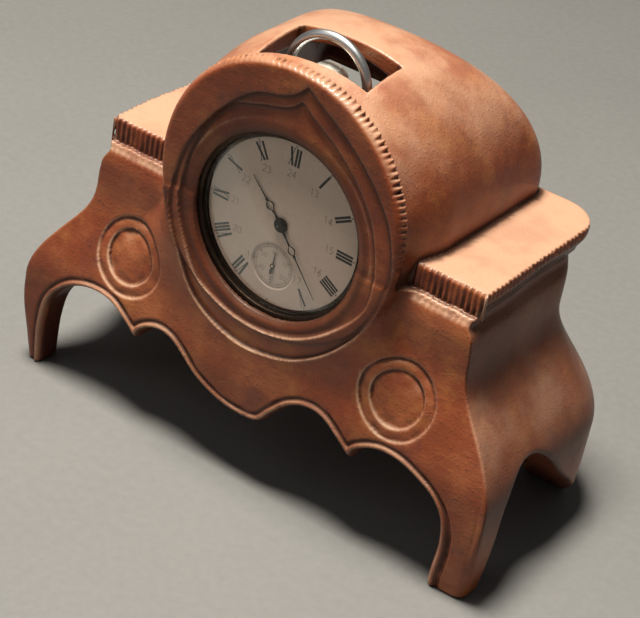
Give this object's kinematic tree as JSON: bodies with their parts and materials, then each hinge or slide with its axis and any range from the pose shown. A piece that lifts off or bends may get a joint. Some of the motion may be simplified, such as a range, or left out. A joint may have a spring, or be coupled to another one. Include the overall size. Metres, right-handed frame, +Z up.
{
  "type": "pocket watch display box",
  "caption": "Carved wooden stand shaped like a small mantel clock, with a round window and a roof slot, holding an open-face pocket watch.",
  "frame": {"origin": "centre of the footprint on the table, under the middle of the front and back feet", "axes": "+X along the width, -Y towards the viewer, +Z up"},
  "size_m": [0.135, 0.07, 0.1129],
  "materials": {
    "wood": "waxed",
    "silver": "polished silver",
    "crystal": "clear",
    "enamel": "fired enamel",
    "blued_steel": "blued",
    "steel": "polished",
    "gilt_brass": "gilt",
    "crown_metal": "worn",
    "jewel": "ruby"
  },
  "bodies": {
    "stand": {"carved_stand": "wood"},
    "watch": {"case_middle": "silver", "bezel": "silver", "crystal": "crystal", "dial": "enamel", "seconds_dial": "enamel", "pendant": "silver", "crown_wheel_screw": "steel", "click_spring": "steel", "pallet_cock": "gilt_brass", "main_plate": "gilt_brass", "barrel_bridge": "gilt_brass", "train_bridge": "gilt_brass", "balance_cock": "gilt_brass", "bridge_screws": "steel", "bridge_jewels": "jewel", "case_screws": "steel", "hinge_pin": "steel"},
    "bow": {"bow": "silver"},
    "setting_lever": {"setting_lever": "steel"},
    "crown": {"crown": "crown_metal", "winding_stem": "steel", "sliding_pinion": "steel"},
    "winding_pinion": {"winding_pinion": "steel"},
    "crown_wheel": {"crown_wheel": "steel"},
    "ratchet": {"ratchet_wheel": "steel", "barrel_arbor": "steel"},
    "click": {"click": "steel"},
    "barrel": {"barrel": "gilt_brass", "barrel_cover": "gilt_brass", "mainspring": "steel"},
    "centre": {"centre_wheel": "gilt_brass"},
    "third": {"third_wheel": "gilt_brass"},
    "fourth": {"fourth_wheel": "gilt_brass", "seconds_hand": "blued_steel"},
    "escape": {"escape_wheel": "steel"},
    "pallet_fork": {"pallet_fork": "steel"},
    "balance": {"balance_wheel": "gilt_brass", "hairspring": "blued_steel"},
    "minute": {"cannon_pinion": "steel", "minute_hand": "blued_steel"},
    "minute_wheel": {"minute_wheel": "gilt_brass"},
    "hour": {"hour_wheel": "gilt_brass", "hour_hand": "blued_steel"},
    "cuvette": {"cuvette": "silver"},
    "case_back": {"case_back": "silver"}
  },
  "joints": [
    {"name": "watch_slide", "type": "slide", "parent": "stand", "child": "watch", "axis": [0, 1, 0], "range_m": [0, 0.005]},
    {"name": "bow_swing", "type": "hinge", "parent": "watch", "child": "bow", "pos_m": [0.00166, -0.0234, 0.09649], "axis": [0.9996, 0, -0.0297], "range_deg": [-32, 17]},
    {"name": "crown_pull", "type": "slide", "parent": "watch", "child": "setting_lever", "axis": [0.0297, 0, 0.9996], "range_m": [0, 0.001]},
    {"name": "crown_turn", "type": "hinge", "parent": "setting_lever", "child": "crown", "pos_m": [0.00169, -0.0234, 0.09759], "axis": [0.0297, 0, 0.9996], "continuous": true},
    {"name": "winding_pinion_turn", "type": "hinge", "parent": "watch", "child": "winding_pinion", "pos_m": [0.00125, -0.0234, 0.08259], "axis": [0.0297, 0, 0.9996], "continuous": true},
    {"name": "crown_wheel_turn", "type": "hinge", "parent": "watch", "child": "crown_wheel", "pos_m": [0.00113, -0.0196, 0.0788], "axis": [0, 1, 0], "continuous": true},
    {"name": "ratchet_turn", "type": "hinge", "parent": "watch", "child": "ratchet", "pos_m": [0.00906, -0.0224, 0.07033], "axis": [0, 1, 0], "continuous": true},
    {"name": "click_rock", "type": "hinge", "parent": "watch", "child": "click", "pos_m": [0.01546, -0.0196, 0.06421], "axis": [0, 1, 0], "range_deg": [0, 5]},
    {"name": "seconds_turn", "type": "hinge", "parent": "watch", "child": "fourth", "pos_m": [0.00013, -0.0244, 0.05656], "axis": [0, 1, 0], "continuous": true},
    {"name": "third_turn", "type": "hinge", "parent": "watch", "child": "third", "pos_m": [0.00561, -0.0244, 0.06059], "axis": [0, 1, 0], "continuous": true},
    {"name": "centre_turn", "type": "hinge", "parent": "watch", "child": "centre", "pos_m": [0.0008, -0.0244, 0.0676], "axis": [0, 1, 0], "continuous": true},
    {"name": "barrel_turn", "type": "hinge", "parent": "watch", "child": "barrel", "pos_m": [0.00906, -0.0234, 0.07033], "axis": [0, 1, 0], "continuous": true},
    {"name": "escape_turn", "type": "hinge", "parent": "watch", "child": "escape", "pos_m": [-0.00476, -0.0244, 0.05958], "axis": [0, 1, 0], "continuous": true},
    {"name": "pallet_rock", "type": "hinge", "parent": "watch", "child": "pallet_fork", "pos_m": [-0.0058, -0.0237, 0.06271], "axis": [0, 1, 0], "range_deg": [-5, 5]},
    {"name": "balance_swing", "type": "hinge", "parent": "watch", "child": "balance", "pos_m": [-0.00765, -0.0224, 0.06614], "axis": [0, 1, 0], "range_deg": [-270, 270]},
    {"name": "minute_turn", "type": "hinge", "parent": "watch", "child": "minute", "pos_m": [0.0008, -0.0304, 0.0676], "axis": [0, 1, 0], "continuous": true},
    {"name": "minute_wheel_turn", "type": "hinge", "parent": "watch", "child": "minute_wheel", "pos_m": [0.0028, -0.0286, 0.07262], "axis": [0, 1, 0], "continuous": true},
    {"name": "hour_turn", "type": "hinge", "parent": "watch", "child": "hour", "pos_m": [0.0008, -0.0294, 0.0676], "axis": [0, 1, 0], "continuous": true},
    {"name": "cuvette_swing", "type": "hinge", "parent": "watch", "child": "cuvette", "pos_m": [-0.02514, -0.01745, 0.06837], "axis": [0.0297, 0, 0.9996], "range_deg": [0, 32]},
    {"name": "case_back_swing", "type": "hinge", "parent": "watch", "child": "case_back", "pos_m": [-0.02514, -0.01745, 0.06837], "axis": [0.0297, 0, 0.9996], "range_deg": [0, 42]}
  ],
  "couplings": [
    {"joint": "winding_pinion_turn", "follows": "crown_turn", "ratio": 1},
    {"joint": "crown_wheel_turn", "follows": "crown_turn", "ratio": -0.75},
    {"joint": "ratchet_turn", "follows": "crown_turn", "ratio": 0.5},
    {"joint": "third_turn", "follows": "seconds_turn", "ratio": -0.13333},
    {"joint": "centre_turn", "follows": "seconds_turn", "ratio": 0.016667},
    {"joint": "barrel_turn", "follows": "seconds_turn", "ratio": -0.0020833},
    {"joint": "escape_turn", "follows": "seconds_turn", "ratio": -10},
    {"joint": "minute_wheel_turn", "follows": "minute_turn", "ratio": -0.33333},
    {"joint": "hour_turn", "follows": "minute_turn", "ratio": 0.083333},
    {"joint": "cuvette_swing", "follows": "case_back_swing", "ratio": 0.75}
  ]
}
